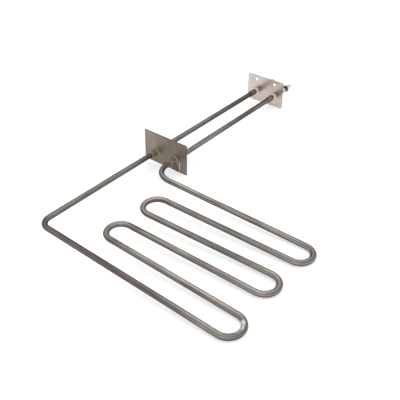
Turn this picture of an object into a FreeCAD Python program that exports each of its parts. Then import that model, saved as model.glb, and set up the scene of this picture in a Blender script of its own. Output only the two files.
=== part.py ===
import FreeCAD, Part
import math
import os
import Sketcher

# Tubular heating element: one metal-sheathed tube bent into a flat six-run serpentine on two straight legs.
# A mounting plate sits at the terminal end of the legs and a baffle plate stands near the serpentine.
#
# Frame: the origin is midway between the legs, on their axes, at the face of the mounting plate that meets
# the appliance wall. The serpentine lies in the XY plane and reaches toward -Y, the terminals toward +Y.

NOTES_AND_SIZES = {
    # The sheathed tube and what it holds
    "tube_diameter": (8.5, "outside of the metal sheath"),
    "tube_wall": (0.8, "thickness of the sheath"),
    "core_diameter": (3.2, "outside of the wound coil and of the cold pins"),
    "coil_wall": (0.4, "thickness of the winding"),
    "cold_overrun": (9.0, "rear face of the baffle to the start of the coil"),
    "pin_tip_length": (8.0, "reduced tip of a cold pin inside the coil"),
    "sheath_stub": (28.5, "sheath that stands out behind the mounting face"),
    # The route of the tube
    "leg_pitch": (40.0, "between the axes of the two legs"),
    "left_bend_radius": (18.1, "bend from the left leg into the serpentine"),
    "right_bend_radius": (30.7, "bend from the right leg into the serpentine"),
    "serpentine_setback": (349.1, "mounting face to the axis of the nearest run"),
    "first_gap": (39.5, "axis of the first run to that of the second, as bent"),
    "second_gap": (41.6, "second run to third, as bent"),
    "third_gap": (37.9, "third run to fourth, as bent"),
    "fourth_gap": (39.4, "fourth run to fifth, as bent"),
    "fifth_gap": (40.5, "fifth run to sixth, as bent"),
    "inner_reach": (62.5, "middle of the legs to the tips of the near bends"),
    "outer_reach": (311.1, "middle of the legs to the tip of the middle far bend"),
    "first_bend_overrun": (5.3, "how much further the first far bend reaches, as bent"),
    "last_bend_overrun": (4.4, "how much further the last far bend reaches, as bent"),
    "first_run_skew": (-1.2, "degrees the run is out of parallel, as bent"),
    "second_run_skew": (-1.1, "degrees, as bent"),
    "third_run_skew": (0.6, "degrees, as bent"),
    "fourth_run_skew": (1.8, "degrees, as bent"),
    "fifth_run_skew": (0.9, "degrees, as bent"),
    "sixth_run_skew": (-0.3, "degrees, as bent"),
    # The mounting plate and the baffle plate
    "plate_thickness": (1.5, "sheet of both plates"),
    "plate_corner_radius": (1.5, "rounded corners of both plates"),
    "tube_hole_clearance": (0.1, "gap round a tube in its plate hole"),
    "mounting_side_margin": (19.6, "axis of each leg to the edge of the mounting plate beside it"),
    "mounting_top_margin": (32.9, "leg axes to the upper edge of the mounting plate"),
    "mounting_bottom_margin": (19.6, "leg axes to the lower edge of the mounting plate"),
    "screw_hole_pitch": (40.0, "between the two fixing holes, one above each leg"),
    "screw_hole_diameter": (5.8, "fixing holes"),
    "screw_hole_edge": (8.6, "upper edge to the fixing holes"),
    "baffle_standoff": (52.6, "axis of the nearest run to the front face of the baffle"),
    "baffle_side_margin": (24.4, "axis of each leg to the edge of the baffle beside it"),
    "baffle_top_margin": (34.7, "leg axes to the upper edge of the baffle"),
    "baffle_bottom_margin": (20.3, "leg axes to the lower edge of the baffle"),
    # The sleeves and their brazed joints
    "sleeve_wall": (1.0, "wall of a reinforcing sleeve"),
    "sleeve_clearance": (0.05, "gap between a sleeve and the tube"),
    "sleeve_lip": (0.4, "chamfer on the open end of a sleeve"),
    "mounting_sleeve_length": (19.0, "sleeve in front of the mounting plate"),
    "baffle_sleeve_length": (14.0, "sleeve in front of the baffle plate"),
    "mounting_braze_height": (3.4, "brazed ring at the mounting plate, along the tube"),
    "mounting_braze_spread": (1.4, "brazed ring outward over the mounting plate"),
    "mounting_braze_knee": (2.7, "shoulder of that ring, from the plate"),
    "mounting_braze_waist": (1.0, "shoulder of that ring, from the sleeve"),
    "baffle_braze_height": (1.8, "brazed ring at the baffle, along the tube"),
    "baffle_braze_spread": (1.2, "brazed ring outward over the baffle"),
    "baffle_braze_knee": (0.8, "hollow of that ring, from the plate"),
    "baffle_braze_waist": (0.3, "hollow of that ring, from the sleeve"),
    # The end seals
    "plug_length": (3.0, "resin plug in the mouth of the sheath"),
    "spigot_length": (3.0, "insulator inside the mouth of the sheath"),
    "collar_length": (8.0, "insulator outside the sheath"),
    "collar_overhang": (0.5, "insulator collar beyond the outside of the sheath"),
    "collar_chamfer": (0.6, "edge of the insulator collar"),
    "seal_clearance": (0.05, "gap round the insulator's spigot and bore"),
    # The terminal hardware
    "stud_diameter": (6.0, "threaded end of a cold pin"),
    "stud_length": (25.0, "insulator to the tip of the stud"),
    "stud_chamfer": (0.6, "tip of the stud"),
    "bare_thread": (1.5, "insulator to the inner nut"),
    "thread_clearance": (0.05, "gap between the stud and what is on it"),
    "nut_flats": (10.0, "across the flats of a nut"),
    "nut_height": (5.0, "height of a nut"),
    "nut_chamfer_angle": (30.0, "degrees, corner chamfer of a nut"),
    "washer_diameter": (14.0, "flat washer"),
    "washer_thickness": (1.6, "flat washer"),
    "spring_washer_diameter": (11.0, "split spring washer"),
    "spring_washer_thickness": (1.6, "split spring washer"),
    "spring_washer_split": (1.6, "slot in the spring washer"),
}

# How the route is laid out, from the farthest run to the nearest

RUN_SKEWS = ["first_run_skew", "second_run_skew", "third_run_skew", "fourth_run_skew", "fifth_run_skew",
             "sixth_run_skew"]
RUN_GAPS = ["first_gap", "second_gap", "third_gap", "fourth_gap", "fifth_gap"]
BEND_REACHES = ["outer_reach + first_bend_overrun", "inner_reach", "outer_reach", "inner_reach",
                "outer_reach + last_bend_overrun"]
RUN_COUNT = len(RUN_SKEWS)
LEG_SIDES = {"left": -1, "right": 1}

# Formulas of size names that several pieces share

TUBE_RADIUS = "tube_diameter / 2"
SHEATH_BORE_RADIUS = "( tube_diameter / 2 - tube_wall )"
CORE_RADIUS = "core_diameter / 2"
COIL_BORE_RADIUS = "( core_diameter / 2 - coil_wall )"
SLEEVE_RADIUS = "( tube_diameter / 2 + sleeve_clearance + sleeve_wall )"
COLLAR_RADIUS = "( tube_diameter / 2 + collar_overhang )"
STUD_BORE_RADIUS = "( stud_diameter / 2 + thread_clearance )"
NUT_CORNER_RADIUS = "nut_flats / 2 / cos(30 deg)"

# Distances in front of the mounting face, toward the serpentine; what is behind it is negative

BAFFLE_REAR_FACE = "serpentine_setback - baffle_standoff - plate_thickness"
COIL_START = f"{BAFFLE_REAR_FACE} + cold_overrun"
PIN_TIP = f"{COIL_START} + pin_tip_length"
PACKING_END = "spigot_length + plug_length - sheath_stub"

# Distances behind the mounting face, in the order of the pieces along a stud

COLLAR_END = "sheath_stub + collar_length"
INNER_NUT = f"{COLLAR_END} + bare_thread"
FLAT_WASHER = f"{INNER_NUT} + nut_height"
SPRING_WASHER = f"{FLAT_WASHER} + washer_thickness"
OUTER_NUT = f"{SPRING_WASHER} + spring_washer_thickness"

# Sketcher's names for the ends of a line, a circle's centre, the origin and the axes

START, END, CENTRE = 1, 2, 3
ORIGIN_POINT, HORIZONTAL_AXIS, VERTICAL_AXIS = (-1, 1), -1, -2

ROUGH_CENTRE, ROUGH_RADIUS = 20.0, 10.0
SAME_POINT = 1e-6

document = FreeCAD.newDocument("heating_element")
sheet = document.addObject("Spreadsheet::Sheet", "sizes")
sub_parts = []


def fill_sheet():
    for row, (name, (value, note)) in enumerate(NOTES_AND_SIZES.items(), start=1):
        sheet.set(f"A{row}", note)
        sheet.set(f"B{row}", str(value))
        sheet.setAlias(f"B{row}", name)
    document.recompute()


def size(name):
    return float(sheet.get(name))


def sum_of(formula):
    """Works out in numbers a formula that only adds and subtracts sizes."""
    total, sign = 0.0, 1
    for word in formula.split():
        if word in "+-":
            sign = -1 if word == "-" else 1
        else:
            total += sign * size(word)
            sign = 1
    return total


def from_sheet(formula):
    """Turns a formula of size names into one that reads the sheet."""
    words = formula.replace("(", "( ").replace(")", " )").split()
    return " ".join(f"<<sizes>>.{word}" if word in NOTES_AND_SIZES else word for word in words)


def leg_x(side):
    return f"{LEG_SIDES[side]} * leg_pitch / 2"


# Helpers for bodies, sketches and features

def new_body(name):
    body = document.addObject("PartDesign::Body", name)
    body.Label = name
    sub_parts.append(body)
    return body


def place(body, across, along):
    body.setExpression("Placement.Base.x", from_sheet(across))
    body.setExpression("Placement.Base.y", from_sheet(along))


def new_sketch(body, name, plane):
    sketch = body.newObject("Sketcher::SketchObject", name)
    support = next(feature for feature in body.Origin.OriginFeatures if feature.Role == plane)
    sketch.AttachmentSupport = (support, [""])
    sketch.MapMode = "FlatFace"
    return sketch


def constrain(sketch, kind, *references, formula=None, near=1.0):
    """Adds a constraint, and binds it to the sheet where it has a formula."""
    if formula is None:
        sketch.addConstraint(Sketcher.Constraint(kind, *references))
        return
    index = sketch.addConstraint(Sketcher.Constraint(kind, *references, near))
    sketch.setExpression(f"Constraints[{index}]", from_sheet(formula))


def fix_point(sketch, point, across, along, near=(1.0, 1.0)):
    """Holds a point at two coordinate formulas, or on an axis where one is None."""
    if across is None:
        constrain(sketch, "PointOnObject", *point, VERTICAL_AXIS)
    else:
        constrain(sketch, "DistanceX", *ORIGIN_POINT, *point, formula=across, near=near[0])
    if along is None:
        constrain(sketch, "PointOnObject", *point, HORIZONTAL_AXIS)
    else:
        constrain(sketch, "DistanceY", *ORIGIN_POINT, *point, formula=along, near=near[1])


def regular_corners(count, centre, radius, first_turn=0.0):
    turns = [first_turn + 2 * math.pi * turn / count for turn in range(count)]
    return [FreeCAD.Vector(centre + radius * math.cos(turn), centre + radius * math.sin(turn), 0)
            for turn in turns]


def draw_closed_lines(sketch, corners):
    """Joins corners in a ring, and gives the lines: each starts at its own corner."""
    ring = list(zip(corners, corners[1:] + corners[:1]))
    lines = [sketch.addGeometry(Part.LineSegment(start, end), False) for start, end in ring]
    for line, following in zip(lines, lines[1:] + lines[:1]):
        constrain(sketch, "Coincident", line, END, following, START)
    return lines


def draw_outline(sketch, corners):
    """Closed outline of straight lines between corners given as pairs of coordinate formulas."""
    lines = draw_closed_lines(sketch, regular_corners(len(corners), ROUGH_CENTRE, ROUGH_RADIUS))
    for line, (across, along) in zip(lines, corners):
        fix_point(sketch, (line, START), across, along)


def draw_circle(sketch, radius, across=None, along=None):
    """Circle of a radius formula, centred at coordinate formulas, or on an axis where they are None."""
    circle = sketch.addGeometry(Part.Circle(FreeCAD.Vector(1, 1, 0), FreeCAD.Vector(0, 0, 1), 1), False)
    constrain(sketch, "Radius", circle, formula=radius)
    fix_point(sketch, (circle, CENTRE), across, along)


def pad(body, sketch, length):
    feature = body.newObject("PartDesign::Pad", sketch.Name + "_pad")
    feature.Profile = sketch
    feature.setExpression("Length", from_sheet(length))
    return feature


def turn_profile(body, sketch, kind="PartDesign::Revolution"):
    """Turns a profile once round the sketch's upright axis."""
    feature = body.newObject(kind, sketch.Name + "_turned")
    feature.Profile = sketch
    feature.ReferenceAxis = (sketch, ["V_Axis"])
    feature.Angle = 360


def turned_piece(name, across, along, corners):
    """A body of revolution along Y, from the corners of its half section, (radius, distance)."""
    body = new_body(name)
    place(body, across, along)
    profile = new_sketch(body, name + "_profile", "XY_Plane")
    draw_outline(profile, corners)
    turn_profile(body, profile)


def cut_through(body, sketch):
    """Cuts a sketch right through the body, and checks that it took material away."""
    document.recompute()
    before = body.Shape.Volume
    cut = body.newObject("PartDesign::Pocket", sketch.Name + "_cut")
    cut.Profile = sketch
    cut.Type = "ThroughAll"
    cut.Midplane = True
    document.recompute()
    if not body.Shape.Volume < before:
        raise ValueError(f"{sketch.Name} cuts nothing")


# The route of the tube, first in numbers and then as a constrained sketch

def run_setback(number):
    """Formula for a run's distance in front of the mounting face, halfway between its bends."""
    return " + ".join(["serpentine_setback"] + RUN_GAPS[number - 1:])


def run_line(number):
    """Middle point and direction of a run."""
    middle_x = (size("inner_reach") + size("outer_reach")) / 2
    skew = math.radians(size(RUN_SKEWS[number - 1]))
    middle = FreeCAD.Vector(middle_x, -sum_of(run_setback(number)), 0)
    return middle, FreeCAD.Vector(math.cos(skew), math.sin(skew), 0)


def point_on_run(number, x):
    middle, direction = run_line(number)
    return middle + direction * ((x - middle.x) / direction.x)


def leg_bend(side, corner, before, after):
    """The arc in a corner: where it starts, its middle point and where it ends."""
    radius = size(f"{side}_bend_radius")
    back, onward = (before - corner).normalize(), (after - corner).normalize()
    half_angle = back.getAngle(onward) / 2
    reach = radius / math.tan(half_angle)
    centre = corner + (back + onward).normalize() * (radius / math.sin(half_angle))
    nearest = centre + (corner - centre).normalize() * radius
    return corner + back * reach, nearest, corner + onward * reach


def u_bend(number, x):
    """The arc from a run to the next that just reaches the line at x: its start, its tip and its end."""
    first, second = point_on_run(number, x), point_on_run(number + 1, x)
    inward = -1 if x > run_line(number)[0].x else 1
    first_way, second_way = run_line(number)[1] * inward, run_line(number + 1)[1] * inward
    first_turn = math.pi - first_way.getAngle(second - first)
    second_turn = math.pi - second_way.getAngle(first - second)
    radius = (second - first).Length / (math.tan(first_turn / 2) + math.tan(second_turn / 2))
    first_reach, second_reach = radius * math.tan(first_turn / 2), radius * math.tan(second_turn / 2)
    tip = first + (second - first).normalize() * first_reach
    return first + first_way * first_reach, tip, second + second_way * second_reach


def join_smoothly(sketch, line, arc):
    """Joins the ends of a line and an arc that lie on each other, without a kink."""
    for line_end in (START, END):
        for arc_end in (START, END):
            gap = sketch.getPoint(line, line_end) - sketch.getPoint(arc, arc_end)
            if gap.Length < SAME_POINT:
                constrain(sketch, "Tangent", line, line_end, arc, arc_end)


def draw_route(sketch, leg_end):
    """The tube's axis: left leg, six runs joined by five U-bends, right leg.

    leg_end is a formula for how far in front of the mounting face both legs end.
    """
    half_pitch, end_y = size("leg_pitch") / 2, -sum_of(leg_end)
    left_end, right_end = FreeCAD.Vector(-half_pitch, end_y, 0), FreeCAD.Vector(half_pitch, end_y, 0)
    left_corner, right_corner = point_on_run(1, -half_pitch), point_on_run(RUN_COUNT, half_pitch)
    u_bends = [u_bend(number, sum_of(reach)) for number, reach in enumerate(BEND_REACHES, start=1)]
    left_bend = leg_bend("left", left_corner, left_end, u_bends[0][0])
    right_bend = leg_bend("right", right_corner, u_bends[-1][2], right_end)
    bends = [left_bend] + u_bends + [right_bend]

    arcs = [sketch.addGeometry(Part.Arc(*bend), False) for bend in bends]
    left_leg = sketch.addGeometry(Part.LineSegment(left_end, left_bend[0]), False)
    right_leg = sketch.addGeometry(Part.LineSegment(right_bend[2], right_end), False)
    runs = []
    for bend, following in zip(bends, bends[1:]):
        ends = sorted((bend[2], following[0]), key=lambda point: point.x)
        runs.append(sketch.addGeometry(Part.LineSegment(*ends), False))
    join_smoothly(sketch, left_leg, arcs[0])
    for run, arc, following in zip(runs, arcs, arcs[1:]):
        join_smoothly(sketch, run, arc)
        join_smoothly(sketch, run, following)
    join_smoothly(sketch, right_leg, arcs[-1])

    for leg, leg_point, side in ((left_leg, START, "left"), (right_leg, END, "right")):
        constrain(sketch, "Vertical", leg)
        fix_point(sketch, (leg, leg_point), leg_x(side), f"- ( {leg_end} )",
                  near=(LEG_SIDES[side] * half_pitch, end_y))
    for arc, radius in ((arcs[0], "left_bend_radius"), (arcs[-1], "right_bend_radius")):
        constrain(sketch, "Radius", arc, formula=radius, near=size(radius))
    for number, run in enumerate(runs, start=1):
        hold_run(sketch, run, number)
    for number, reach in enumerate(BEND_REACHES, start=1):
        hold_u_bend(sketch, arcs[number], runs[number - 1], runs[number], number, reach)


def hold_run(sketch, run, number):
    """Gives a run its skew and its distance from the mounting face, at a mark halfway along it."""
    skew = RUN_SKEWS[number - 1]
    middle = run_line(number)[0]
    mark = sketch.addGeometry(Part.Point(middle), True)
    constrain(sketch, "Angle", run, formula=skew, near=math.radians(size(skew)))
    constrain(sketch, "PointOnObject", mark, START, run)
    fix_point(sketch, (mark, START), "( inner_reach + outer_reach ) / 2", f"- ( {run_setback(number)} )",
              near=(middle.x, middle.y))


def hold_u_bend(sketch, arc, run, following_run, number, reach):
    """Makes the tip of a U-bend touch an upright line at its reach."""
    x = sum_of(reach)
    limit_ends = point_on_run(number, x), point_on_run(number + 1, x)
    limit = sketch.addGeometry(Part.LineSegment(*limit_ends), True)
    constrain(sketch, "Vertical", limit)
    constrain(sketch, "DistanceX", *ORIGIN_POINT, limit, START, formula=reach, near=x)
    constrain(sketch, "PointOnObject", limit, START, run)
    constrain(sketch, "PointOnObject", limit, END, following_run)
    constrain(sketch, "Tangent", limit, arc)


# The bent tube and what it holds

def swept_tube(name, radii, leg_end):
    """Sweeps a round section, hollow where it has two radii, along the whole route."""
    body = new_body(name)
    route = new_sketch(body, name + "_route", "XY_Plane")
    draw_route(route, leg_end)
    section = new_sketch(body, name + "_section", "XZ_Plane")
    section.setExpression("AttachmentOffset.Base.z", from_sheet(leg_end))
    for radius in radii:
        draw_circle(section, radius, across=leg_x("left"))
    pipe = body.newObject("PartDesign::AdditivePipe", name + "_sweep")
    pipe.Profile = section
    pipe.Spine = route
    return body


def make_magnesia_packing():
    """The pressed powder: it fills the sheath round the coil and pins, and the inside of the coil."""
    around = swept_tube("packing_round_coil", [SHEATH_BORE_RADIUS, CORE_RADIUS], PACKING_END)
    inside = swept_tube("packing_inside_coil", [COIL_BORE_RADIUS], PIN_TIP)
    packing = document.addObject("Part::Compound", "magnesia_packing")
    packing.Label = "magnesia_packing"
    packing.Links = [around, inside]
    for body in (around, inside):
        sub_parts.remove(body)
    sub_parts.append(packing)


def make_terminal_pin(side):
    """A turned pin: tip inside the coil, plain shank through the packing, threaded stud at the terminal."""
    shoulder = f"( {PIN_TIP} + {COLLAR_END} )"
    end = f"( {PIN_TIP} + {COLLAR_END} + stud_length )"
    turned_piece(f"terminal_pin_{side}", leg_x(side), f"- ( {PIN_TIP} )", [
        (None, None),
        (COIL_BORE_RADIUS, None),
        (COIL_BORE_RADIUS, "pin_tip_length"),
        (CORE_RADIUS, "pin_tip_length"),
        (CORE_RADIUS, shoulder),
        ("stud_diameter / 2", shoulder),
        ("stud_diameter / 2", f"{end} - stud_chamfer"),
        ("stud_diameter / 2 - stud_chamfer", end),
        (None, end),
    ])


# The plates

def round_corners(body, blank):
    """Rounds the four upright corners of a plate."""
    document.recompute()
    box = blank.Shape.BoundBox
    corners = []
    for number, edge in enumerate(blank.Shape.Edges, start=1):
        offset = edge.CenterOfMass - box.Center
        across, upward = abs(offset.x) - box.XLength / 2, abs(offset.z) - box.ZLength / 2
        if abs(across) < SAME_POINT and abs(upward) < SAME_POINT:
            corners.append(f"Edge{number}")
    fillet = body.newObject("PartDesign::Fillet", blank.Name + "_corners")
    fillet.Base = (blank, corners)
    fillet.setExpression("Radius", from_sheet("plate_corner_radius"))


def make_plate(plate, rear_face):
    """A flat plate with a hole for each leg, upright, its edges set out from the legs by their margins."""
    name = f"{plate}_plate"
    body = new_body(name)
    place(body, "0", rear_face)
    outline = new_sketch(body, name + "_blank", "XZ_Plane")
    left = f"- leg_pitch / 2 - {plate}_side_margin"
    right = f"leg_pitch / 2 + {plate}_side_margin"
    bottom, top = f"- {plate}_bottom_margin", f"{plate}_top_margin"
    draw_outline(outline, [(left, bottom), (right, bottom), (right, top), (left, top)])
    blank = pad(body, outline, "plate_thickness")
    round_corners(body, blank)
    holes = new_sketch(body, name + "_tube_holes", "XZ_Plane")
    for side in LEG_SIDES:
        draw_circle(holes, "tube_diameter / 2 + tube_hole_clearance", across=leg_x(side))
    cut_through(body, holes)
    return body


def make_mounting_plate():
    body = make_plate("mounting", "0")
    holes = new_sketch(body, "screw_holes", "XZ_Plane")
    for sign in LEG_SIDES.values():
        draw_circle(holes, "screw_hole_diameter / 2", across=f"{sign} * screw_hole_pitch / 2",
                    along="mounting_top_margin - screw_hole_edge")
    cut_through(body, holes)


# The sleeves and their brazed joints, on the front face of each plate

PLATE_FRONT_FACES = {
    "mounting": "plate_thickness",
    "baffle": f"{BAFFLE_REAR_FACE} + plate_thickness",
}


def make_sleeve(plate, side):
    length = f"{plate}_sleeve_length"
    bore = "tube_diameter / 2 + sleeve_clearance"
    front_end = f"- ( {PLATE_FRONT_FACES[plate]} + {length} )"
    turned_piece(f"{plate}_sleeve_{side}", leg_x(side), front_end, [
        (bore, None),
        (f"{SLEEVE_RADIUS} - sleeve_lip", None),
        (SLEEVE_RADIUS, "sleeve_lip"),
        (SLEEVE_RADIUS, length),
        (bore, length),
    ])


def make_braze_ring(plate, side):
    """The hollow-faced ring of braze in the corner between a sleeve and its plate."""
    height = f"{plate}_braze_height"
    front_end = f"- ( {PLATE_FRONT_FACES[plate]} + {height} )"
    turned_piece(f"{plate}_braze_ring_{side}", leg_x(side), front_end, [
        (SLEEVE_RADIUS, None),
        (f"{SLEEVE_RADIUS} + {plate}_braze_waist", f"{height} - {plate}_braze_knee"),
        (f"{SLEEVE_RADIUS} + {plate}_braze_spread", height),
        (SLEEVE_RADIUS, height),
    ])


# The end seals

def make_seal_plug(side):
    turned_piece(f"seal_plug_{side}", leg_x(side), f"- ( {PACKING_END} )", [
        (CORE_RADIUS, None),
        (SHEATH_BORE_RADIUS, None),
        (SHEATH_BORE_RADIUS, "plug_length"),
        (CORE_RADIUS, "plug_length"),
    ])


def make_insulator(side):
    """The ceramic bush: a spigot in the mouth of the sheath and a collar against its end."""
    bore = f"{CORE_RADIUS} + seal_clearance"
    spigot = f"{SHEATH_BORE_RADIUS} - seal_clearance"
    outer_end = "( spigot_length + collar_length )"
    turned_piece(f"insulator_{side}", leg_x(side), "sheath_stub - spigot_length", [
        (bore, None),
        (spigot, None),
        (spigot, "spigot_length"),
        (COLLAR_RADIUS, "spigot_length"),
        (COLLAR_RADIUS, f"{outer_end} - collar_chamfer"),
        (f"{COLLAR_RADIUS} - collar_chamfer", outer_end),
        (bore, outer_end),
    ])


# The terminal hardware. A pad on the XZ plane reaches toward -Y, so each piece is placed by its outer face.

def draw_hexagon(sketch):
    """The outline of a nut, its corners on a circle and one corner straight above the middle."""
    near = size("nut_flats")
    circle = sketch.addGeometry(Part.Circle(FreeCAD.Vector(0, 0, 0), FreeCAD.Vector(0, 0, 1), near), True)
    constrain(sketch, "Coincident", circle, CENTRE, *ORIGIN_POINT)
    constrain(sketch, "Radius", circle, formula=NUT_CORNER_RADIUS, near=near)
    lines = draw_closed_lines(sketch, regular_corners(6, 0, near, first_turn=math.pi / 2))
    for line in lines:
        constrain(sketch, "PointOnObject", line, START, circle)
    for line in lines[1:]:
        constrain(sketch, "Equal", lines[0], line)
    constrain(sketch, "PointOnObject", lines[0], START, VERTICAL_AXIS)


def make_nut(name, side, inner_face):
    body = new_body(f"{name}_{side}")
    place(body, leg_x(side), f"{inner_face} + nut_height")
    hexagon = new_sketch(body, f"{name}_hexagon_{side}", "XZ_Plane")
    draw_hexagon(hexagon)
    draw_circle(hexagon, STUD_BORE_RADIUS)
    pad(body, hexagon, "nut_height")
    chamfer_nut(body)


def chamfer_nut(body):
    """Turns away the corners at both faces of a nut."""
    depth = f"( ( {NUT_CORNER_RADIUS} - nut_flats / 2 ) * tan(nut_chamfer_angle * 1 deg) )"
    outside = f"{NUT_CORNER_RADIUS} + thread_clearance"
    ends = {"outer": (None, f"- {depth}"), "inner": ("- nut_height", f"- nut_height + {depth}")}
    for end, (face, shoulder) in ends.items():
        document.recompute()
        before = body.Shape.Volume
        wedge = new_sketch(body, f"{body.Name}_{end}_chamfer", "XY_Plane")
        draw_outline(wedge, [
            ("nut_flats / 2", face),
            (NUT_CORNER_RADIUS, shoulder),
            (outside, shoulder),
            (outside, face),
        ])
        turn_profile(body, wedge, "PartDesign::Groove")
        document.recompute()
        if not body.Shape.Volume < before:
            raise ValueError(f"the {end} chamfer of {body.Name} cuts nothing")


def make_washer(name, side, inner_face, diameter, thickness):
    body = new_body(f"{name}_{side}")
    place(body, leg_x(side), f"{inner_face} + {thickness}")
    ring = new_sketch(body, f"{name}_ring_{side}", "XZ_Plane")
    draw_circle(ring, f"{diameter} / 2")
    draw_circle(ring, STUD_BORE_RADIUS)
    pad(body, ring, thickness)
    return body


def make_spring_washer(side):
    body = make_washer("spring_washer", side, SPRING_WASHER, "spring_washer_diameter",
                       "spring_washer_thickness")
    slot = new_sketch(body, f"spring_washer_slot_{side}", "XZ_Plane")
    left, right = "- spring_washer_split / 2", "spring_washer_split / 2"
    beyond = "spring_washer_diameter"
    draw_outline(slot, [(left, None), (right, None), (right, beyond), (left, beyond)])
    cut_through(body, slot)


def check_everything():
    document.recompute()
    for item in document.Objects:
        if "Invalid" in item.State or "Error" in item.State:
            raise ValueError(f"{item.Name} failed: {item.State}")
    for part in sub_parts:
        if part.Shape.isNull() or not part.Shape.isValid():
            raise ValueError(f"{part.Label} has no valid shape")


def write_everything():
    os.makedirs("parts", exist_ok=True)
    for part in sub_parts:
        part.Shape.exportStep(f"parts/{part.Label}.step")
        print(f"{part.Label}: {len(part.Shape.Solids)} solid, {part.Shape.Volume:.1f} mm3")


fill_sheet()
swept_tube("sheath_tube", [TUBE_RADIUS, SHEATH_BORE_RADIUS], "- sheath_stub")
swept_tube("resistance_coil", [CORE_RADIUS, COIL_BORE_RADIUS], COIL_START)
make_magnesia_packing()
make_mounting_plate()
make_plate("baffle", f"- ( {BAFFLE_REAR_FACE} )")
for side in LEG_SIDES:
    make_terminal_pin(side)
    make_seal_plug(side)
    make_insulator(side)
    make_nut("inner_nut", side, INNER_NUT)
    make_washer("flat_washer", side, FLAT_WASHER, "washer_diameter", "washer_thickness")
    make_spring_washer(side)
    make_nut("outer_nut", side, OUTER_NUT)
    for plate in PLATE_FRONT_FACES:
        make_sleeve(plate, side)
        make_braze_ring(plate, side)
check_everything()
write_everything()
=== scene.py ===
# %% [markdown]
# A tubular heating element, dressed for its portrait.
# The packed model already holds every piece at its real size: the bent sheath, the two plates, the
# sleeves and the terminals. This lesson gives each piece its finish, cuts the threads of the two
# terminal studs, breaks the sharp edges of the sheet metal and the hardware, and sets up a floor, soft
# lamps and a camera. The first cell loads the model as a fixed frame. Nothing in it is moved: new
# pieces are fitted round it.

# %% Load the frame
import math

import bmesh
import bpy
from mathutils import Matrix, Vector


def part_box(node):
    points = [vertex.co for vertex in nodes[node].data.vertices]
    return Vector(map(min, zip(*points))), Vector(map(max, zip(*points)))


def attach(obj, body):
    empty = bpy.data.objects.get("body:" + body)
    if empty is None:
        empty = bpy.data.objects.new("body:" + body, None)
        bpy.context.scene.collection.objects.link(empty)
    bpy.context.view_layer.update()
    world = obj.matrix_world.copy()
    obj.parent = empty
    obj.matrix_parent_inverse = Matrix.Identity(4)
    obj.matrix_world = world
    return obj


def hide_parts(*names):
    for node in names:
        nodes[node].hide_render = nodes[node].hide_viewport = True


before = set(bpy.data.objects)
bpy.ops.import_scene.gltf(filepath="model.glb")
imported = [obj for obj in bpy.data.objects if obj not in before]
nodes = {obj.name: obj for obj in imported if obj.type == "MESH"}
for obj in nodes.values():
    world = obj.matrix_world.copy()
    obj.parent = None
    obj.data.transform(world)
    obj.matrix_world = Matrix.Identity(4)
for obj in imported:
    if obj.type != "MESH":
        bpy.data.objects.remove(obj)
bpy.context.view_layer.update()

# %% [markdown]
# Every size below is in metres, like the frame. What the frame can tell is read from it: the axes of
# the two legs are the middles of their terminal pins, and the faces of the plates are the sides of
# their boxes.

# %% Places that the finishes and pieces share
SIDES = ("left", "right")
MM = 0.001


def middle_x(node):
    low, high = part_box(node)
    return (low.x + high.x) / 2


leg_x = {side: middle_x(f"terminal_pin_{side}") for side in SIDES}
tube_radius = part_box("sheath_tube")[1].z
print("leg axes at", leg_x, "and the tube's radius", tube_radius)

# %% [markdown]
# A metal finish is a sum of many soft masks: patches of heat tint, drawn lines, rubbed spots. Written
# as nodes one by one, that is hard to read. So a small class wraps a node's output, and Python's own
# operators on it add the Math nodes: 1 - mask, or mask * grain, means just what it says. Any other node
# comes from one method.

# %% A wire that Python can do sums with
def plug(tree, node, inputs):
    """Gives a node's sockets their values or links."""
    for name, value in inputs.items():
        if isinstance(value, Wire):
            tree.links.new(value.socket, node.inputs[name])
        else:
            node.inputs[name].default_value = value


class Wire:
    """An output of a shader node. Sums on it add Math nodes."""

    # A Mix node has a set of sockets for each kind of value. These numbers are those of its colours.
    FACTOR, UNDER, OVER, RESULT = 0, 6, 7, 2

    def __init__(self, tree, socket):
        self.tree, self.socket = tree, socket

    def node(self, kind, settings, inputs, output=0):
        """Adds a node of any kind: its settings first, then its sockets' values or links."""
        made = self.tree.nodes.new(kind)
        for name, value in settings.items():
            setattr(made, name, value)
        plug(self.tree, made, inputs)
        return Wire(self.tree, made.outputs[output])

    def maths(self, operation, first, second=0.0):
        return self.node("ShaderNodeMath", {"operation": operation}, {0: first, 1: second})

    def __add__(self, other):
        return self.maths("ADD", self, other)

    def __sub__(self, other):
        return self.maths("SUBTRACT", self, other)

    def __rsub__(self, other):
        return self.maths("SUBTRACT", other, self)

    def __mul__(self, other):
        return self.maths("MULTIPLY", self, other)

    __radd__, __rmul__ = __add__, __mul__

    def fade(self, low, high):
        """0 up to low, 1 from high on, and a soft rise between them."""
        limits = {"Value": self, "From Min": low, "From Max": high}
        return self.node("ShaderNodeMapRange", {"interpolation_type": "SMOOTHSTEP"}, limits)

    def mix(self, under, over):
        """The colour under where this mask is 0, and the colour over where it is 1."""
        under, over = (one if isinstance(one, Wire) else (*one, 1.0) for one in (under, over))
        inputs = {self.FACTOR: self, self.UNDER: under, self.OVER: over}
        return self.node("ShaderNodeMix", {"data_type": "RGBA"}, inputs, self.RESULT)


operators = [name for name, value in vars(Wire).items() if name[:2] == "__" and callable(value)]
print("operators:", operators)

# %% [markdown]
# Three patterns are enough for bare metal. Clouds make patches of tint. Grain is the same noise
# stretched along the way the metal was drawn or brushed. A distance from a leg's axis makes the rings
# of colour that brazing leaves.

# %% Patterns on bare metal
RIM = 0.3 * MM
SPOT_CORE = 0.25


def cloud(place, size, seed, detail=3.0):
    """Soft patches about size metres across, from 0 to 1."""
    values = {"Vector": place, "W": seed, "Scale": 1 / size, "Detail": detail}
    return place.node("ShaderNodeTexNoise", {"noise_dimensions": "4D"}, values)


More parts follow.
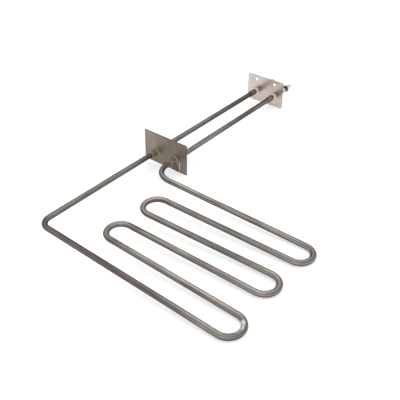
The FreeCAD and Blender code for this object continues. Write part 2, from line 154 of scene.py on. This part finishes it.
def grain(place, length, width, along, seed):
    """Fine lines of that length and width. They run along the axes that along names."""
    scales = [1 / (length if axis in along else width) for axis in "XYZ"]
    stretched = place.node("ShaderNodeVectorMath", {"operation": "MULTIPLY"}, {0: place, 1: scales})
    return cloud(stretched, 1.0, seed, detail=2.0)


def coordinate(place, axis):
    return place.node("ShaderNodeSeparateXYZ", {}, {0: place}, axis)


def distance(place, centre, across=(1, 1, 1)):
    """How far a point is from a centre. Each axis counts by its share in across, so 0 leaves it out."""
    offset = place.node("ShaderNodeVectorMath", {"operation": "SUBTRACT"}, {0: place, 1: centre})
    flat = place.node("ShaderNodeVectorMath", {"operation": "MULTIPLY"}, {0: offset, 1: across})
    return place.node("ShaderNodeVectorMath", {"operation": "LENGTH"}, {0: flat}, "Value")


def from_leg(place, side):
    """How far a point is from the axis of a leg."""
    return distance(place, (leg_x[side], 0, 0), (1, 0, 1))


def spot(place, x, z, radius):
    """A soft round mask on an upright plate."""
    return distance(place, (x, 0, z), (1, 0, 1)).fade(radius, SPOT_CORE * radius)


def sheared_rim(place, node):
    """A mask that is 1 on the narrow edges of a plate and 0 on its faces."""
    inside = 1.0
    for axis in "XZ":
        low, high = (getattr(corner, axis.lower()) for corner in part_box(node))
        along = coordinate(place, axis)
        inside = inside * along.fade(low, low + RIM) * along.fade(high, high - RIM)
    return 1 - inside


def bump(place, height, depth):
    """A normal from a height of 0 to 1 that stands for that many metres."""
    return place.node("ShaderNodeBump", {}, {"Height": height, "Distance": depth, "Strength": 1.0})


def new_finish(name):
    """An empty material, and the place of each of its points on the part."""
    material = bpy.data.materials.new(name)
    material.use_nodes = True
    tree = material.node_tree
    place = tree.nodes.new("ShaderNodeTexCoord").outputs["Object"]
    return material, Wire(tree, place)


def fill_shader(material, inputs):
    tree = material.node_tree
    plug(tree, tree.nodes["Principled BSDF"], inputs)
    print(f"{material.name}: {len(tree.nodes)} nodes")
    return material


# %% [markdown]
# The sheath is an alloy tube that was drawn, bent and then annealed, so its skin is a dull grey-brown
# oxide. It is still metal underneath, so it is a metallic shader with a dark base and a fairly high
# roughness. The oxide isn't even: purple-brown and olive patches some centimetres long, light and dark
# lines from drawing along the tube, and a darker brown at the far bends and on the first run. The
# underside is darker still: painted shade, which is also made dull there. Along the inside of one far
# bend a chain of small round spots is painted nearly white and made smoother: a painted highlight. A
# short list of soft ovals then makes a bend or a run a little darker or paler. The tube lies in the XY
# plane, so how far round it a point sits can be read from its Z alone. That places the painted shade.
# An arc cosine turns Z into a distance round the tube, and grain that is long in X and Y but thin in
# that distance follows the tube round every bend, with lines as fine on its crown as on its sides.
# Clean metal turns white where it is seen edge-on, but oxide doesn't, so the Specular Tint is dark.
# The painted shade is dull like soot, so it takes most of the Metallic value away.

# %% The annealed sheath
GREY_BROWN, PURPLE_BROWN = (0.375, 0.340, 0.308), (0.300, 0.248, 0.230)
OLIVE_GREY, DARK_OLIVE = (0.305, 0.303, 0.265), (0.120, 0.120, 0.110)
PALE_OXIDE, DARK_OXIDE = (0.60, 0.56, 0.51), (0.070, 0.058, 0.052)
# The second colour on the next line is the near white of a painted highlight.
PURPLE_DARK, BARE_METAL = (0.120, 0.090, 0.092), (0.96, 0.93, 0.89)
DULL_EDGE = (0.10, 0.09, 0.08, 1.0)
PURPLE_PATCH, OLIVE_PATCH, SPECK = 45 * MM, 60 * MM, 1.2 * MM
BAND_LENGTH, BAND_WIDTH = 120 * MM, 1.6 * MM
LINE_LENGTH, LINE_WIDTH = 30 * MM, 0.5 * MM
SKIN_DEPTH = 0.03 * MM

# Pale and dark streaks: their strength, where in the noise they start and are full, and their colour.
BANDS = [(0.62, (0.52, 0.64), PALE_OXIDE), (0.88, (0.48, 0.36), DARK_OXIDE)]
LINES = [(0.42, (0.50, 0.68), PALE_OXIDE), (0.25, (0.48, 0.34), DARK_OXIDE)]

# Where a tint starts, and where it is full.
FAR_TIPS = (298 * MM, 312 * MM)
LEFT_LEG = (20 * MM, -20 * MM)
TERMINAL_END = (-250 * MM, -30 * MM)
OUTER_RUN_ACROSS, OUTER_RUN_ALONG = (-505 * MM, -545 * MM), (290 * MM, 200 * MM)
# Where the painted shade on the tube's underside starts, and where it is full.
SOOT_LEVELS = (2.4 * MM, -1.6 * MM)

# In millimetres: the middles of the painted highlight spots, their height on the tube, and their radius.
BARE_SPOTS = [(309.5, -521.5), (312.0, -528.0), (310.5, -534.5), (297.0, -543.2), (287.0, -544.0)]
BARE_HEIGHT, BARE_RADIUS, BARE_CORE = 3.2, 6.8, 0.3

# Each oval's middle and its half widths, in millimetres, then its strength and its colour.
TUBE_TINTS = [
    (304, -528, 34, 30, 0.36, DARK_OXIDE),
    (304, -448, 34, 30, 0.20, DARK_OXIDE),
    (66, -488, 34, 30, 0.20, PALE_OXIDE),
    (66, -409, 34, 30, 0.12, PALE_OXIDE),
    (28, -340, 40, 36, 0.16, DARK_OXIDE),
    (185, -390, 150, 16, 0.24, DARK_OXIDE),
    (185, -429, 150, 16, 0.26, DARK_OXIDE),
    (185, -508, 150, 16, 0.12, PALE_OXIDE),
    (20, -160, 16, 170, 0.18, DARK_OXIDE),
]
OVAL_CORE = 0.4


def bare_spot(place, x_mm, y_mm):
    """A small round mask on top of the tube, where a highlight is painted."""
    centre = (x_mm * MM, y_mm * MM, BARE_HEIGHT * MM)
    return distance(place, centre).fade(BARE_RADIUS * MM, BARE_CORE * BARE_RADIUS * MM)


def oval(place, x_mm, y_mm, half_x_mm, half_y_mm):
    """A soft oval mask on the tube, as seen from above."""
    shares = (1 / (half_x_mm * MM), 1 / (half_y_mm * MM), 0)
    return distance(place, (x_mm * MM, y_mm * MM, 0), shares).fade(1.0, OVAL_CORE)


def annealed_sheath():
    material, place = new_finish("annealed_sheath")
    x, y, z = (coordinate(place, axis) for axis in "XYZ")
    colour = cloud(place, PURPLE_PATCH, 1.0).fade(0.46, 0.60).mix(GREY_BROWN, PURPLE_BROWN)
    colour = (0.8 * cloud(place, OLIVE_PATCH, 2.0).fade(0.50, 0.64)).mix(colour, OLIVE_GREY)

    round_tube = tube_radius * z.maths("ARCCOSINE", z * (1 / tube_radius))
    skin = place.node("ShaderNodeCombineXYZ", {}, {0: x, 1: y, 2: round_tube})
    bands = grain(skin, BAND_LENGTH, BAND_WIDTH, "XY", 3.0)
    lines = grain(skin, LINE_LENGTH, LINE_WIDTH, "XY", 7.0)
    for noise, streaks in ((bands, BANDS), (lines, LINES)):
        for strength, levels, tint in streaks:
            colour = (strength * noise.fade(*levels)).mix(colour, tint)

    colour = (0.32 * x.fade(*FAR_TIPS)).mix(colour, PURPLE_DARK)
    colour = (0.40 * x.fade(*LEFT_LEG) + 0.35 * y.fade(*TERMINAL_END)).mix(colour, DARK_OLIVE)
    outer_run = y.fade(*OUTER_RUN_ACROSS) * x.fade(*OUTER_RUN_ALONG)
    colour = (0.55 * outer_run).mix(colour, PURPLE_DARK)
    for x_mm, y_mm, half_x_mm, half_y_mm, strength, tint in TUBE_TINTS:
        colour = (strength * oval(place, x_mm, y_mm, half_x_mm, half_y_mm)).mix(colour, tint)
    # Painted shade: the underside of the tube is darker, and also duller and less metallic.
    soot = z.fade(*SOOT_LEVELS)
    colour = (0.85 * soot).mix(colour, DARK_OXIDE)
    # Painted highlight: a chain of small spots along the inside of one far bend, nearly white and
    # smoother.
    polished = sum(bare_spot(place, x_mm, y_mm) for x_mm, y_mm in BARE_SPOTS)
    colour = (0.95 * polished).mix(colour, BARE_METAL)

    specks = cloud(place, SPECK, 6.0, detail=1.0)
    return fill_shader(material, {
        "Base Color": (0.5 * specks.fade(0.60, 0.74)).mix(colour, DARK_OXIDE),
        "Metallic": 1.0 - 0.7 * soot,
        "Specular Tint": DULL_EDGE,
        "Roughness": 0.38 + 0.14 * (specks - 0.5) + 0.25 * soot - 0.20 * polished,
        "Normal": bump(place, lines + 0.5 * specks, SKIN_DEPTH),
    })


sheath_finish = annealed_sheath()

# %% [markdown]
# The mounting plate is bright rolled sheet, almost a mirror: it shows the legs again as soft dark
# bands. The finish is pale and warm, a little browner near its lower edge, with the shallow marks of
# two spot welds or punches. The brazing torch left a faint straw ring round each sleeve. A wider straw
# patch above each sleeve and to its right is a painted reflection of its leg. The sheared edges are
# rough and dark.

# %% The bright mounting plate
BRIGHT_SHEET, WARM_SHEET, COOL_SHEET = (0.585, 0.510, 0.468), (0.500, 0.420, 0.372), (0.55, 0.54, 0.50)
STRAW, SHEARED = (0.46, 0.38, 0.31), (0.16, 0.15, 0.14)
WARM_PATCH, COOL_STRIP = 22 * MM, 16 * MM
WARM_FOOT_TOP, WARM_FOOT_FULL = 10 * MM, 1 * MM
STRAW_RING = (11 * MM, 6.5 * MM)
# How far beside and above its sleeve the painted reflection of each leg sits, and its radius.
TORCH_SIDE, TORCH_RADIUS = 7.0 * MM, 13.0 * MM
PLATE_MARKS, MARK_RADIUS = [(17.0 * MM, 15.4 * MM), (-14.5 * MM, -3.1 * MM)], 3.0 * MM
ROLLED_LENGTH, ROLLED_WIDTH = 20 * MM, 0.3 * MM


def bright_sheet():
    material, place = new_finish("bright_rolled_sheet")
    x, z = coordinate(place, "X"), coordinate(place, "Z")
    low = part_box("mounting_plate")[0]
    colour = cloud(place, WARM_PATCH, 11.0).fade(0.46, 0.66).mix(BRIGHT_SHEET, WARM_SHEET)
    colour = x.fade(low.x + COOL_STRIP, low.x).mix(colour, COOL_SHEET)
    foot = z.fade(low.z + WARM_FOOT_TOP, low.z + WARM_FOOT_FULL)
    colour = (0.2 * foot).mix(colour, WARM_SHEET)
    for side in SIDES:
        colour = (0.50 * from_leg(place, side).fade(*STRAW_RING)).mix(colour, STRAW)
        # Painted reflection: a straw patch above and to the right of each sleeve, standing for its leg.
        torch = spot(place, leg_x[side] + TORCH_SIDE, TORCH_SIDE, TORCH_RADIUS)
        colour = (0.55 * torch).mix(colour, STRAW)
    marks = sum(spot(place, mark_x, mark_z, MARK_RADIUS) for mark_x, mark_z in PLATE_MARKS)
    colour = (0.45 * marks).mix(colour, OLIVE_GREY)
    rolled = grain(place, ROLLED_LENGTH, ROLLED_WIDTH, "X", 12.0)
    rim = sheared_rim(place, "mounting_plate")
    return fill_shader(material, {
        "Base Color": (0.85 * rim).mix(colour, SHEARED),
        "Metallic": 1.0,
        "Roughness": 0.30 + 0.08 * (rolled - 0.5) + 0.10 * marks + 0.3 * rim,
        "Normal": bump(place, 0.35 * rolled - marks, 0.02 * MM),
    })


mounting_finish = bright_sheet()

# %% [markdown]
# The baffle works close to the hot serpentine, so it has lost its shine. It is brushed up and down and
# tinted from grey to brown with yellowish clouds, darkest round the sleeves. Below the right sleeve the
# right leg's dark reflection is painted in, and beside that sleeve a bright streak runs down it: a
# painted highlight, also smoother and sunk a little. Brushing is grain along Z: it feeds the colour a
# little, and the roughness and the bump more.

# %% The heat-tinted baffle
BAFFLE_GREY, BAFFLE_BROWN, BAFFLE_PALE = (0.250, 0.225, 0.195), (0.265, 0.205, 0.160), (0.37, 0.305, 0.26)
# The last colour on the next line is that of a painted highlight.
BAFFLE_STRAW, BAFFLE_DARK, SCRAPED = (0.36, 0.28, 0.175), (0.12, 0.098, 0.084), (0.80, 0.74, 0.68)
BROWN_PATCH, RAGGED_PATCH = 30 * MM, 12 * MM
DARK_RING = (10 * MM, 6 * MM)
BRUSHED_LENGTH, BRUSHED_WIDTH = 25 * MM, 0.4 * MM

# Each spot's middle across and up, and its radius, in millimetres, then its strength and its colour.
BAFFLE_TINTS = [
    (-35, 20, 30, 0.6, BAFFLE_PALE),
    (-24, 9, 12, 0.7, BAFFLE_STRAW),
    (-3, 25, 15, 0.6, BAFFLE_STRAW),
    (36, 12, 24, 0.7, BAFFLE_BROWN),
    # The last two spots are a painted dark reflection of the right leg, below its sleeve.
    (22, -14, 16, 0.6, BAFFLE_DARK),
    (26, -18, 9, 0.6, BAFFLE_DARK),
]
# Where the painted highlight streak runs: across, its top and its foot, its width and its soft ends.
SCRAPE_X, SCRAPE_TOP, SCRAPE_FOOT = 30.0 * MM, 2.0 * MM, -19.5 * MM
SCRAPE_WIDTH, SCRAPE_ENDS = (0.9 * MM, 0.3 * MM), 4 * MM


def tinted_sheet():
    material, place = new_finish("heat_tinted_sheet")
    z = coordinate(place, "Z")
    colour = cloud(place, BROWN_PATCH, 21.0).fade(0.46, 0.62).mix(BAFFLE_GREY, BAFFLE_BROWN)
    ragged = 0.6 + 0.4 * cloud(place, RAGGED_PATCH, 22.0).fade(0.40, 0.60)
    for tint_x, tint_z, radius, strength, tint in BAFFLE_TINTS:
        # Tints, and below the right sleeve a painted dark reflection of its leg.
        stain = spot(place, tint_x * MM, tint_z * MM, radius * MM)
        colour = (strength * ragged * stain).mix(colour, tint)
    for side in SIDES:
        colour = (0.25 * from_leg(place, side).fade(*DARK_RING)).mix(colour, BAFFLE_DARK)
    brushed = grain(place, BRUSHED_LENGTH, BRUSHED_WIDTH, "Z", 23.0)
    colour = (0.22 * brushed.fade(0.52, 0.75)).mix(colour, PALE_OXIDE)
    # Painted highlight: a bright streak down the baffle beside the right sleeve, also smoother and sunk.
    off_scrape = distance(place, (SCRAPE_X, 0, 0), (1, 0, 0))
    scrape = off_scrape.fade(*SCRAPE_WIDTH) * z.fade(SCRAPE_TOP, SCRAPE_TOP - SCRAPE_ENDS)
    scrape = scrape * z.fade(SCRAPE_FOOT, SCRAPE_FOOT + SCRAPE_ENDS) * brushed.fade(0.36, 0.50)
    rim = sheared_rim(place, "baffle_plate")
    return fill_shader(material, {
        "Base Color": (0.8 * rim).mix(scrape.mix(colour, SCRAPED), BAFFLE_DARK),
        "Metallic": 1.0,
        "Specular Tint": DULL_EDGE,
        "Roughness": 0.50 + 0.20 * (brushed - 0.5) - 0.16 * scrape,
        "Normal": bump(place, brushed - 0.6 * scrape, 0.03 * MM),
    })


baffle_finish = tinted_sheet()

# %% [markdown]
# Sleeves and braze. The torch turned the sleeves at the mounting plate dark brown, with a crust of
# flux. Those at the baffle are paler and streaked, and all four are darker underneath: painted shade.
# One function makes both kinds, from two colours. The braze itself is silver, slightly pitted. At the
# mounting plate it was pickled clean, so it is nearly white, almost wholly metal and fairly smooth. At
# the baffle it went dull with soot.

# %% Sleeves and braze
# Where the painted shade under a sleeve starts, and where it is full.
SLEEVE_UNDERSIDE = (2.5 * MM, -2.5 * MM)


def burnt_sleeve(name, skin, crust, seed):
    material, place = new_finish(name)
    streaks = grain(place, 12 * MM, 1.2 * MM, "Y", seed)
    crumbs = cloud(place, 1.5 * MM, seed + 1)
    crusted = (streaks + 0.4 * crumbs).fade(0.66, 0.86)
    # Painted shade: each sleeve is darker on its underside.
    underside = coordinate(place, "Z").fade(*SLEEVE_UNDERSIDE)
    return fill_shader(material, {
        "Base Color": (0.6 * underside).mix(crusted.mix(skin, crust), DARK_OXIDE),
        "Metallic": 1.0 - 0.5 * crusted,
        "Roughness": 0.42 + 0.25 * crusted,
        "Normal": bump(place, crumbs + crusted, 0.06 * MM),
    })


def silver_braze(name, clean, sooty, metallic, roughness, seed):
    material, place = new_finish(name)
    soot = cloud(place, 4 * MM, seed).fade(0.52, 0.70)
    pits = cloud(place, 0.8 * MM, seed + 1)
    return fill_shader(material, {
        "Base Color": soot.mix(clean, sooty),
        "Metallic": metallic,
        "Roughness": roughness + 0.25 * soot,
        "Normal": bump(place, pits, 0.04 * MM),
    })


sleeve_finishes = {
    "mounting": burnt_sleeve("torch_black_sleeve", (0.34, 0.278, 0.238), (0.14, 0.110, 0.092), 31.0),
    "baffle": burnt_sleeve("brown_sleeve", (0.54, 0.47, 0.41), (0.36, 0.295, 0.245), 33.0),
}
braze_finishes = {
    "mounting": silver_braze("bright_braze", (0.98, 0.97, 0.95), (0.88, 0.84, 0.79), 0.9, 0.22, 35.0),
    "baffle": silver_braze("sooty_braze", (0.44, 0.39, 0.345), (0.16, 0.13, 0.11), 1.0, 0.40, 37.0),
}

# %% [markdown]
# The terminals end in plain engineering materials: turned steel studs, inner nuts that went dark with
# heat, bright flat washers, blued spring washers, zinc-plated outer nuts and unglazed ceramic bushes.
# Inside, where nobody looks, are the powder, the winding and the resin plugs: they get a simple finish
# too, so that nothing on the part is left bare.

# %% Terminals and what is inside
def plain_metal(name, fresh, worn, roughness, seed, along="Y"):
    material, place = new_finish(name)
    wear = cloud(place, 3 * MM, seed).fade(0.45, 0.68)
    turned = grain(place, 3 * MM, 0.2 * MM, along, seed + 1)
    return fill_shader(material, {
        "Base Color": wear.mix(fresh, worn),
        "Metallic": 1.0,
        "Roughness": roughness + 0.18 * wear + 0.08 * (turned - 0.5),
        "Normal": bump(place, turned, 0.01 * MM),
    })


def mineral(name, pale, stained, roughness, seed):
    material, place = new_finish(name)
    stains = cloud(place, 4 * MM, seed).fade(0.50, 0.72)
    grit = cloud(place, 0.5 * MM, seed + 1)
    return fill_shader(material, {
        "Base Color": stains.mix(pale, stained),
        "Roughness": roughness + 0.15 * (grit - 0.5),
        "Normal": bump(place, grit, 0.02 * MM),
    })


stud_finish = plain_metal("turned_steel", (0.82, 0.85, 0.88), (0.62, 0.62, 0.62), 0.28, 41.0)
plated_finish = plain_metal("plated_steel", (0.80, 0.77, 0.73), (0.60, 0.55, 0.49), 0.20, 43.0, "X")
nut_finish = plain_metal("tarnished_steel", (0.185, 0.130, 0.105), (0.075, 0.050, 0.040), 0.32, 45.0, "Z")
spring_finish = plain_metal("blued_spring_steel", (0.42, 0.46, 0.53), (0.28, 0.29, 0.32), 0.30, 47.0, "Z")
outer_nut_finish = plain_metal("blue_zinc_plate", (0.80, 0.85, 0.90), (0.62, 0.65, 0.69), 0.22, 57.0, "Z")
wire_finish = plain_metal("resistance_wire_metal", (0.44, 0.42, 0.39), (0.30, 0.28, 0.26), 0.40, 49.0, "X")
ceramic_finish = mineral("unglazed_ceramic", (0.80, 0.78, 0.73), (0.62, 0.57, 0.50), 0.55, 51.0)
powder_finish = mineral("pressed_powder", (0.82, 0.81, 0.78), (0.74, 0.72, 0.68), 0.85, 53.0)
resin_finish = mineral("seal_resin_skin", (0.70, 0.66, 0.58), (0.52, 0.46, 0.38), 0.45, 55.0)

# %% [markdown]
# Now each node gets its finish. The names of the nodes say what they are, so a short table from the
# first words of a name to a finish covers them all.

# %% Finishes onto the nodes
finish_of = {
    "sheath_tube": sheath_finish,
    "mounting_plate": mounting_finish,
    "baffle_plate": baffle_finish,
    "mounting_sleeve": sleeve_finishes["mounting"],
    "baffle_sleeve": sleeve_finishes["baffle"],
    "mounting_braze_ring": braze_finishes["mounting"],
    "baffle_braze_ring": braze_finishes["baffle"],
    "terminal_pin": stud_finish,
    "inner_nut": nut_finish,
    "outer_nut": outer_nut_finish,
    "flat_washer": plated_finish,
    "spring_washer": spring_finish,
    "insulator": ceramic_finish,
    "seal_plug": resin_finish,
    "magnesia_packing": powder_finish,
    "resistance_coil": wire_finish,
}


def finish_for(name):
    return next(finish for start, finish in finish_of.items() if name.startswith(start))


for name, node in nodes.items():
    node.data.materials.clear()
    node.data.materials.append(finish_for(name))
    node.data.polygons.foreach_set("material_index", [0] * len(node.data.polygons))
print("finished nodes:", len(nodes))

# %% [markdown]
# The studs carry a real thread. A thread is a small ridged outline that turns round the stud while it
# climbs by one pitch a turn, and the spin operator does just that: its dvec is the climb at each step.
# The spun helix is made a little too long, cut flat at both ends with bisect_plane, and its holes are
# filled.

# %% Threaded studs
THREAD_PITCH = 1.0 * MM
THREAD_DEPTH = 0.61 * MM
CREST, ROOT = THREAD_PITCH / 8, THREAD_PITCH / 4
FLANK = (THREAD_PITCH - CREST - ROOT) / 2
STEPS_A_TURN = 32
TIP_CHAMFER = 0.6 * MM
PIN_TIP_RADIUS, PIN_TIP_LENGTH = 1.2 * MM, 8 * MM
WELD = 0.001 * MM
SHARP_SHADING = math.radians(18)


def spun(bm, centre_x, outline, turns=1.0, climb=0.0):
    """Spins an outline of (radius, y) points round a leg's axis, climbing along it by one pitch a turn."""
    steps = round(turns * STEPS_A_TURN)
    corners = [bm.verts.new((centre_x + radius, y, 0)) for radius, y in outline]
    edges = [bm.edges.new(pair) for pair in zip(corners, corners[1:])]
    bmesh.ops.spin(bm, geom=corners + edges, cent=(centre_x, 0, 0), axis=(0, 1, 0),
                   dvec=(0, climb / STEPS_A_TURN, 0), angle=math.tau * turns, steps=steps,
                   use_merge=climb == 0)
    bmesh.ops.remove_doubles(bm, verts=bm.verts, dist=WELD)


def cut_flat(bm, y, beyond):
    """Cuts a mesh off at y, on the side that beyond points to, and closes the cut."""
    everything = bm.verts[:] + bm.edges[:] + bm.faces[:]
    bmesh.ops.bisect_plane(bm, geom=everything, plane_co=(0, y, 0), plane_no=(0, beyond, 0),
                           clear_outer=True)
    rim = [edge for edge in bm.edges
           if edge.is_boundary and all(abs(corner.co.y - y) < WELD for corner in edge.verts)]
    bmesh.ops.holes_fill(bm, edges=rim)


def new_piece(name, bm, node_name):
    """Makes an object of a mesh that takes a node's place, with its finish, attached to the root body."""
    bmesh.ops.recalc_face_normals(bm, faces=bm.faces)
    mesh = bpy.data.meshes.new(name)
    bm.to_mesh(mesh)
    bm.free()
    mesh.shade_smooth()
    mesh.set_sharp_from_angle(angle=SHARP_SHADING)
    mesh.materials.append(finish_for(node_name))
    piece = bpy.data.objects.new(name, mesh)
    bpy.context.scene.collection.objects.link(piece)
    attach(piece, "root")
    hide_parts(node_name)
    return piece


def threaded_pin(side):
    node_name = f"terminal_pin_{side}"
    low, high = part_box(node_name)
    axis_x, stud_radius = leg_x[side], (high.x - low.x) / 2
    shank_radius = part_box("resistance_coil")[1].z
    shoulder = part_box(f"insulator_{side}")[1].y

    stud = bmesh.new()
    one_thread = [(stud_radius, 0.0), (stud_radius, CREST), (stud_radius - THREAD_DEPTH, CREST + FLANK),
                  (stud_radius - THREAD_DEPTH, CREST + FLANK + ROOT), (stud_radius, THREAD_PITCH)]
    start = shoulder - 2 * THREAD_PITCH
    turns = math.ceil((high.y - start) / THREAD_PITCH) + 1
    spun(stud, axis_x, [(radius, start + y) for radius, y in one_thread], turns, THREAD_PITCH)
    for corner in stud.verts:
        reach = Vector((corner.co.x - axis_x, corner.co.z))
        allowed = stud_radius - max(0.0, corner.co.y - (high.y - TIP_CHAMFER))
        if 0 < allowed < reach.length:
            reach.length = allowed
            corner.co.x, corner.co.z = axis_x + reach.x, reach.y
    cut_flat(stud, shoulder, -1)
    cut_flat(stud, high.y, 1)

    step = low.y + PIN_TIP_LENGTH
    spun(stud, axis_x, [(0, low.y), (PIN_TIP_RADIUS, low.y), (PIN_TIP_RADIUS, step), (shank_radius, step),
                        (shank_radius, shoulder), (0, shoulder)])
    pin = new_piece(f"threaded_pin_{side}", stud, node_name)
    print(f"{pin.name}: {turns} turns of thread, {len(pin.data.polygons)} faces")


for side in SIDES:
    threaded_pin(side)

# %% [markdown]
# Sheared sheet, pressed washers and turned nuts never have knife edges. Each is copied from its node,
# its doubles are merged, its flat triangles are dissolved into whole faces, and its sharp edges get a
# bevel of a tenth or two of a millimetre, which catches the light. Each step of the bevel turns by more
# than the 18 degrees at which the smooth shading breaks, so the flat faces stay flat to the eye and
# mirror straight lines as straight.

# %% Broken edges
# The widths of the bevels in millimetres: of the kinds that come in pairs, then of the plates.
PAIR_BREAKS = {"inner_nut": 0.12, "outer_nut": 0.12, "flat_washer": 0.12, "spring_washer": 0.1}
EDGE_BREAKS = {"mounting_plate": 0.2, "baffle_plate": 0.2}
for kind, width in PAIR_BREAKS.items():
    EDGE_BREAKS.update({f"{kind}_{side}": width for side in SIDES})
SHARP = math.radians(50)
FLAT = math.radians(0.5)


def broken_edges(node_name, width):
    bm = bmesh.new()
    bm.from_mesh(nodes[node_name].data)
    bmesh.ops.remove_doubles(bm, verts=bm.verts, dist=WELD)
    bmesh.ops.dissolve_limit(bm, angle_limit=FLAT, verts=bm.verts, edges=bm.edges)
    sharp = [edge for edge in bm.edges if len(edge.link_faces) == 2 and edge.calc_face_angle() > SHARP]
    bmesh.ops.bevel(bm, geom=sharp, offset=width, affect="EDGES", segments=2, profile=0.5, material=-1,
                    clamp_overlap=True)
    return new_piece(f"{node_name}_edged", bm, node_name)


for node_name, width in EDGE_BREAKS.items():
    piece = broken_edges(node_name, width * MM)
    print(f"{piece.name}: {len(piece.data.polygons)} faces")

# %% [markdown]
# The element lies as it would come to rest on a table: on a lower corner of the baffle and on two of
# the far bends. Those three points needn't be guessed. A convex hull of the whole part has a face for
# each way that it could stand, and the one below the centre of mass is the floor. Each triangle of a
# closed mesh makes a small pyramid with the origin, and the mean of all the pyramids, by weight, is
# that centre.

# %% The floor
FLOOR_SIZE = 8.0
FLOOR_WHITE = (0.93, 0.93, 0.93)
FLOOR_GLOW = 0.42
RAYS_THAT_SEE = ("Camera", "Glossy", "Transmission")
MOSTLY_DOWN = -0.5

# Densities as shares of steel's, by the first words of a node's name.
LIGHTER_THAN_STEEL = {"magnesia_packing": 0.38, "seal_plug": 0.15, "insulator": 0.30}


def centre_of_mass():
    """The mean of the solids, by weight. A weight here is a volume times a density."""
    total, weighted = 0.0, Vector((0, 0, 0))
    for name, node in nodes.items():
        shares = [share for start, share in LIGHTER_THAN_STEEL.items() if name.startswith(start)]
        density = shares[0] if shares else 1.0
        for face in node.data.polygons:
            one, two, three = (node.data.vertices[number].co for number in face.vertices)
            weight = density * one.dot(two.cross(three)) / 6
            total += weight
            weighted += weight * (one + two + three) / 4
    return weighted / total


def sides_of(face, outward, point):
    """On which side of each edge of a face a point lies. Inside the face, all of them have one sign."""
    corners = [corner.co for corner in face.verts]
    following = corners[1:] + corners[:1]
    return [(end - start).cross(point - start).dot(outward) for start, end in zip(corners, following)]


def standing_face():
    """The corner and the upward normal of the hull's face that the part would stand on."""
    hull = bmesh.new()
    for node in nodes.values():
        hull.from_mesh(node.data)
    made = bmesh.ops.convex_hull(hull, input=hull.verts)
    middle = centre_of_mass()
    for face in (item for item in made["geom"] if isinstance(item, bmesh.types.BMFace)):
        outward = face.normal if face.normal.dot(face.calc_center_median() - middle) > 0 else -face.normal
        foot = middle + outward * outward.dot(face.verts[0].co - middle)
        sides = sides_of(face, outward, foot)
        if outward.z < MOSTLY_DOWN and (min(sides) > 0 or max(sides) < 0):
            return face.verts[0].co.copy(), -outward
    raise ValueError("no face of the hull lies below the centre of mass")


def pale_floor():
    corner, upward = standing_face()
    mesh = bpy.data.meshes.new("floor")
    bm = bmesh.new()
    turn = Vector((0, 0, 1)).rotation_difference(upward).to_matrix().to_4x4()
    bmesh.ops.create_grid(bm, x_segments=1, y_segments=1, size=FLOOR_SIZE / 2,
                          matrix=Matrix.Translation(corner) @ turn)
    bm.to_mesh(mesh)
    bm.free()
    floor = bpy.data.objects.new("floor", mesh)
    bpy.context.scene.collection.objects.link(floor)
    material, place = new_finish("white_paper")
    fibres = cloud(place, 4 * MM, 61.0)
    seeing = [place.node("ShaderNodeLightPath", {}, {}, f"Is {ray} Ray") for ray in RAYS_THAT_SEE]
    seen = sum(seeing).fade(0.0, 1.0)
    mesh.materials.append(fill_shader(material, {
        "Base Color": (*FLOOR_WHITE, 1.0),
        "Emission Color": seen.mix((0, 0, 0), (FLOOR_GLOW, FLOOR_GLOW, FLOOR_GLOW)),
        "Emission Strength": 1.0,
        "Roughness": 0.9 + 0.1 * (fibres - 0.5),
        "Specular IOR Level": 0.0,
    }))
    print(f"the floor leans {math.degrees(upward.angle(Vector((0, 0, 1)))):.2f} degrees")


pale_floor()

# %% [markdown]
# Soft, plain light: a grey world, one wide lamp overhead and a smaller one from the camera's side. A
# lamp's power is worked out from the share of plain white light that it gives at the part, so that a
# colour renders about as it is written: a lamp of level 1 alone would light a white sheet that faces it
# to white.

# %% World and lamps
WORLD_GREY = 0.68
LAMPS = [
    ("overhead_lamp", 0.30, (-0.10, -0.10, 1.60), 2.2),
    ("front_lamp", 0.06, (0.90, -1.70, 1.20), 0.8),
]
AIM = Vector((0.12, -0.35, 0.0))

world = bpy.data.worlds.new("studio")
world.use_nodes = True
background = world.node_tree.nodes["Background"]
background.inputs["Color"].default_value = (WORLD_GREY, WORLD_GREY, WORLD_GREY, 1.0)
bpy.context.scene.world = world
for name, level, stand, width in LAMPS:
    data = bpy.data.lights.new(name, "AREA")
    data.shape = "SQUARE"
    data.size = width
    way = Vector(stand) - AIM
    data.energy = level * math.pi ** 2 * way.length ** 2
    lamp = bpy.data.objects.new(name, data)
    lamp.location = stand
    lamp.rotation_euler = way.to_track_quat("Z", "Y").to_euler()
    bpy.context.scene.collection.objects.link(lamp)
    print(f"{name}: {data.energy:.1f} W at {way.length:.2f} m")

# %% [markdown]
# The camera stands where the photographer's did. Its place, its three angles and its lens were fitted
# to the lines and bends of the tube, the brazed rings and the corners of the plates, so the picture
# lines up with the photograph.

# %% The camera
CAMERA_PLACE = (0.5738, -0.9499, 0.5438)
AZIMUTH, ELEVATION, ROLL = (math.radians(angle) for angle in (37.453, 36.078, 1.134))
LENS, SENSOR = 56.018, 36.0

camera_data = bpy.data.cameras.new("camera")
camera_data.lens, camera_data.sensor_width = LENS, SENSOR
camera_data.clip_start, camera_data.clip_end = 0.01, 50.0
camera = bpy.data.objects.new("camera", camera_data)
aim = Matrix.Rotation(AZIMUTH, 4, "Z") @ Matrix.Rotation(math.pi / 2 - ELEVATION, 4, "X")
camera.matrix_world = Matrix.Translation(CAMERA_PLACE) @ aim @ Matrix.Rotation(ROLL, 4, "Z")
bpy.context.scene.collection.objects.link(camera)
bpy.context.scene.camera = camera
bpy.context.scene.view_settings.view_transform = "Standard"
print("camera at", CAMERA_PLACE)

# %% [markdown]
